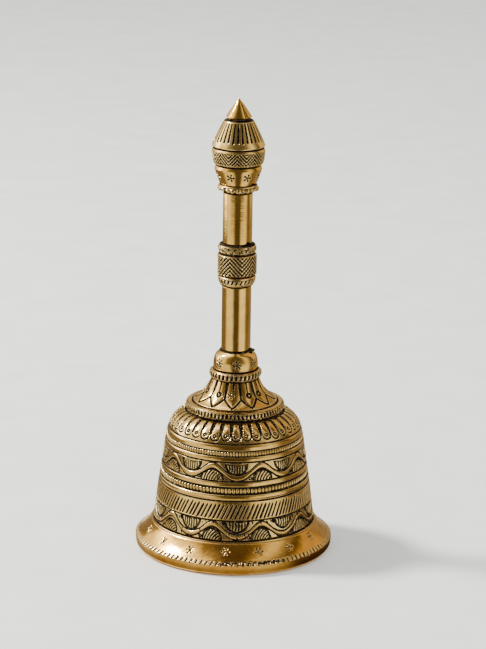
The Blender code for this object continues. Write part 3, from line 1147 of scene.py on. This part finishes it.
def fixings():
    """The tie rod and its eye, and the washer and nut under the crown."""
    foot, thread_top, shank_foot, top = 53.3, 61.5, 62.0, extent("tie_rod")[1]
    rod_radius = 2.0
    rod = joined(
        curve([(0.0, top), (rod_radius - 0.3, top), (rod_radius, top - 0.3)], 0.3),
        curve([(rod_radius, top - 0.3), (rod_radius, shank_foot)], 2.0),
        curve([(rod_radius, shank_foot), (rod_radius, foot + 0.4)], 0.08),
        curve([(rod_radius, foot + 0.4), (rod_radius - 0.5, foot), (0.0, foot)], 0.2),
    )
    grid = Grid(rod, 72)
    pitch = 0.8
    thread = 0.22 * stripes(grid.z / pitch - grid.theta / 360.0)
    thread = thread * ramp(0.0, 0.6, thread_top - grid.z) * ramp(0.0, 0.3, grid.z - foot - 0.4)
    piece = turned("tie_rod_threaded", grid, thread, [], closed=False)
    adopt(piece, STEEL, "bell", "tie_rod")
    eye = wire("tie_rod_eye", upright_ring(EYE_RADIUS, EYE_CENTRE), (0.0, 1.0, 0.0), WIRE_RADIUS)
    adopt(eye, STEEL, "bell", "tie_rod")

    foot, top, radius = extent("crown_washer")
    edge = 0.2
    outline = [(radius - edge, top), (radius, top - edge), (radius, foot + edge), (radius - edge, foot)]
    grid = Grid(curve(outline, 0.08), 240)
    dents = 0.12 * ramp(0.5, 0.7, grain(grid, np.random.default_rng(3), 2, 5))
    piece = turned("crown_washer_pressed", grid, dents, [(BORE, foot), (BORE, top)])
    adopt(piece, STEEL, "bell", "crown_washer")

    foot, top, _ = extent("crown_nut")
    _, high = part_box("crown_nut")
    corner = max(high.x, high.y) / MM
    flat = corner * math.cos(math.pi / 6)
    first_corner = 0.0 if high.y > high.x else 90.0
    runs = chamfered(foot, top, corner, flat - 0.1, 0.45)
    grid = Grid(joined(*[curve(run, step) for run, step in zip(runs, (0.06, 0.2, 0.06))]), 360)
    from_flat = (grid.theta - first_corner) % 60.0 - 30.0
    grid.r = np.minimum(grid.r, flat / np.cos(np.radians(from_flat)))
    hole = [(BORE, foot), (BORE, top)]
    adopt(turned("crown_nut_hexagon", grid, grid.plain(), hole, sharp=25.0), STEEL, "bell", "crown_nut")


def clapper_pieces():
    """The link, and the clapper's ring, stem and ball."""
    link = wire("clapper_link_wire", long_link(2.5, 2.6, LINK_PIVOT), (1.0, 0.0, 0.0), WIRE_RADIUS)
    adopt(link, STEEL, "link", "clapper_link")
    centre_line = upright_ring(STEM_RING_RADIUS, CLAPPER_PIVOT)
    ring = wire("clapper_stem_ring", centre_line, (0.0, 1.0, 0.0), 0.95)
    adopt(ring, STEEL, "clapper", "clapper_stem")

    stem_radius = 1.1
    foot, top = extent("clapper_stem")[0], CLAPPER_PIVOT - STEM_RING_RADIUS
    stem = joined(
        curve([(0.0, top), (stem_radius, top)], 0.3),
        curve([(stem_radius, top), (stem_radius, foot + 0.3)], 0.3),
        curve([(stem_radius, foot + 0.3), (stem_radius - 0.3, foot), (0.0, foot)], 0.15),
    )
    grid = Grid(stem, 48)
    dents = 0.06 * ramp(0.45, 0.6, grain(grid, np.random.default_rng(5), 3, 4))
    piece = turned("clapper_stem_shaft", grid, dents, [], closed=False)
    adopt(piece, STEEL, "clapper", "clapper_stem")

    foot, top, radius = extent("clapper_ball")
    middle = 11.0
    outline = [(2.4, top), (2.9, 17.6), (4.0, 16.0)]
    for turn in np.radians((40, 20, 0, -20, -40, -55)):
        outline.append((radius * math.cos(turn), middle + radius * math.sin(turn)))
    outline = outline + [(2.6, 5.2), (2.2, foot)]
    grid = Grid(curve(outline, 0.12), 360)
    rings = [grid.line(height, 0.22, 0.22) for height in (17.0, middle + 0.9, middle - 0.9)]
    dents = 0.10 * ramp(0.48, 0.6, grain(grid, np.random.default_rng(9), 5, 9))
    piece = turned("clapper_ball_cast", grid, deepest(dents, *rings), [(1.4, foot), (1.4, top)])
    adopt(piece, CHASED, "clapper", "clapper_ball")


# ---- floor, light and camera


def surroundings(name, mesh, material):
    """An object that isn't part of the bell."""
    mesh.materials.append(material)
    obj = linked(name, mesh)
    return obj


def floor():
    """A wide pale floor, on which the bell stands."""
    size = 12.0
    corners = [(-size, -size, 0.0), (size, -size, 0.0), (size, size, 0.0), (-size, size, 0.0)]
    mesh = bpy.data.meshes.new("floor")
    mesh.from_pydata(corners, [], [(0, 1, 2, 3)])
    surroundings("floor", mesh, pale_floor())


# What the polished metal sees round the bell. Each zone has an even glow, and then soft boxes and dark
# screens: the azimuth of each one's middle, its half width, its soft edge, its strength and its tint.
# The floor zone stands for the floor in reflections. Its bright box at -130 degrees is a painted pool of
# light, and its dark box at 84 degrees is the bell's painted shadow. The contact zone is painted shade
# where the lip meets the floor.
FLOOR_GLOW = (0.95, (1.0, 0.87, 0.52))
FLOOR_BOXES = [
    (-130, 20, 30, 0.35, (1.0, 1.0, 0.95)),
    (84, 36, 24, -0.84, (1.0, 0.90, 0.54)),
]
CONTACT_SHADE_GLOW = (0.45, (1.0, 0.84, 0.50))
CONTACT_SHADE_BOXES = [
    (-130, 20, 30, 0.35, (1.0, 0.95, 0.80)),
    (84, 36, 24, -0.40, (1.0, 0.86, 0.52)),
]
WALL_GLOW = (0.33, (0.94, 0.75, 0.46))
WALL_BOXES = [
    (-55, 17, 24, 1.20, (1.0, 1.0, 0.76)),
    (-1, 13, 16, -0.18, (1.0, 0.76, 0.42)),
    (48, 14, 20, 1.35, (1.0, 1.0, 0.80)),
    (134, 8, 22, 0.15, (1.0, 0.80, 0.50)),
]
CEILING_GLOW = (0.32, (1.0, 0.82, 0.50))
CEILING_BOXES = [
    (-99, 31, 25, 1.50, (1.0, 0.92, 0.62)),
    (-103, 3, 16, 3.40, (1.0, 1.0, 0.96)),
    (0, 18, 22, -0.18, (1.0, 0.80, 0.46)),
    (61, 3, 20, 0.90, (1.0, 0.94, 0.64)),
    (96, 3, 9, -0.20, (1.0, 0.78, 0.50)),
    (120, 12, 12, 0.55, (1.0, 0.70, 0.24)),
    (180, 15, 35, 0.45, (1.0, 0.82, 0.50)),
]
# The tent's outline from beside the lip, out over the floor, up and over the bell: radius, height and zone.
CONTACT_SHADE_ZONE = (CONTACT_SHADE_GLOW, CONTACT_SHADE_BOXES)
FLOOR_ZONE = (FLOOR_GLOW, FLOOR_BOXES)
WALL_ZONE = (WALL_GLOW, WALL_BOXES)
CEILING_ZONE = (CEILING_GLOW, CEILING_BOXES)
TENT_RADIUS = 0.25
TENT = [
    (0.0381, 0.0003, CONTACT_SHADE_ZONE), (0.040, 0.0003, CONTACT_SHADE_ZONE), (0.044, 0.0003, FLOOR_ZONE),
    (0.065, 0.0006, FLOOR_ZONE),
    (0.085, 0.0006, WALL_ZONE), (TENT_RADIUS, 0.0006, WALL_ZONE),
    (TENT_RADIUS, 0.0008, WALL_ZONE), (TENT_RADIUS, 0.066, WALL_ZONE),
    (TENT_RADIUS, 0.084, CEILING_ZONE), (TENT_RADIUS, 0.50, CEILING_ZONE),
    (0.22, 0.62, CEILING_ZONE), (0.14, 0.71, CEILING_ZONE), (0.002, 0.76, CEILING_ZONE),
]


def glow_round(zone, azimuth):
    """The light of a zone at each azimuth."""
    (strength, tint), boxes = zone
    light = strength * np.array(tint) * np.ones((len(azimuth), 1))
    for middle, half_width, edge, strength, tint in boxes:
        away = np.abs((azimuth - middle + 180.0) % 360.0 - 180.0)
        share = 1.0 - ramp(half_width, half_width + edge, away)
        light = light + share[:, None] * strength * np.array(tint)
    return light.clip(0.01)


def reflection_tent():
    """A tent of soft light and shade round the bell, which only reflections see."""
    columns, rows = 240, len(TENT)
    azimuth = np.linspace(-180.0, 180.0, columns, endpoint=False)
    angle = np.radians(azimuth)
    points, colours = [], []
    for radius, height, zone in TENT:
        points.append(on_bell(radius, height, angle))
        colours.append(glow_round(zone, azimuth))
    mesh = bpy.data.meshes.new("reflection_tent")
    faces = [
        (low + i, low + (i + 1) % columns, low + columns + (i + 1) % columns, low + columns + i)
        for low in range(0, (rows - 1) * columns, columns)
        for i in range(columns)
    ]
    mesh.from_pydata(np.concatenate(points).tolist(), [], faces)
    colour = np.concatenate(colours)
    colour = np.hstack([colour, np.ones((len(colour), 1))])
    glow = mesh.color_attributes.new("glow", "FLOAT_COLOR", "POINT")
    glow.data.foreach_set("color", colour.astype(np.float32).ravel())
    material = bpy.data.materials.new("reflection_tent")
    material.use_nodes = True
    nodes, links = material.node_tree.nodes, material.node_tree.links
    nodes.clear()
    attribute = nodes.new("ShaderNodeAttribute")
    attribute.attribute_name = "glow"
    emission = nodes.new("ShaderNodeEmission")
    links.new(attribute.outputs["Color"], emission.inputs["Color"])
    links.new(emission.outputs["Emission"], nodes.new("ShaderNodeOutputMaterial").inputs["Surface"])
    material.cycles.emission_sampling = "NONE"
    obj = surroundings("reflection_tent", mesh, material)
    obj.visible_camera = False
    obj.visible_diffuse = False
    obj.visible_shadow = False
    obj.visible_transmission = False
    obj.visible_volume_scatter = False


def area_light(name, direction, distance, size, power, colour):
    """A round soft light that points at the bell's middle from the given direction."""
    light = bpy.data.lights.new(name, "AREA")
    light.shape = "DISK"
    light.size = size
    light.energy = power
    light.color = colour
    light.cycles.use_multiple_importance_sampling = False
    obj = linked(name, light)
    target = Vector((0.0, 0.0, 0.06))
    obj.location = target + Vector(direction).normalized() * distance
    obj.rotation_euler = (target - obj.location).to_track_quat("-Z", "Y").to_euler()
    return obj


def lights():
    """A key light from the upper left, a fill that reflections don't see, and the room's even light."""
    area_light("key", (-0.68, 0.15, 0.71), 1.6, 0.28, 50.0, (1.0, 0.97, 0.92))
    fill = area_light("fill", (0.35, -0.8, 0.6), 2.2, 1.4, 18.0, (1.0, 0.99, 0.97))
    fill.visible_glossy = False
    world = bpy.data.worlds.new("studio")
    world.use_nodes = True
    background = world.node_tree.nodes["Background"]
    background.inputs["Color"].default_value = (0.97, 1.0, 1.0, 1.0)
    background.inputs["Strength"].default_value = 1.0
    bpy.context.scene.world = world


def camera():
    """Looks down at the bell from the front, a little rolled, with a long lens."""
    data = bpy.data.cameras.new("camera")
    data.sensor_width = 36.0
    data.lens = 138.67
    data.clip_start = 0.01
    data.clip_end = 100.0
    pitch, roll = math.radians(15.502), math.radians(0.85)
    forward = Vector((0.0, math.cos(pitch), -math.sin(pitch)))
    up = Vector((0.0, math.sin(pitch), math.cos(pitch)))
    right = Vector((1.0, 0.0, 0.0))
    side = math.cos(roll) * right + math.sin(roll) * up
    top = -math.sin(roll) * right + math.cos(roll) * up
    obj = linked("camera", data)
    matrix = Matrix((side, top, -forward)).transposed().to_4x4()
    matrix.translation = Vector((0.0026, -0.9162, 0.3419))
    obj.matrix_world = matrix
    bpy.context.scene.camera = obj


for start_object in [obj for obj in bpy.data.objects if obj.name in ("Cube", "Light", "Camera")]:
    bpy.data.objects.remove(start_object)

shell_pieces()
handle_pieces()
crooked_washers()
fixings()
clapper_pieces()
floor()
reflection_tent()
lights()
camera()
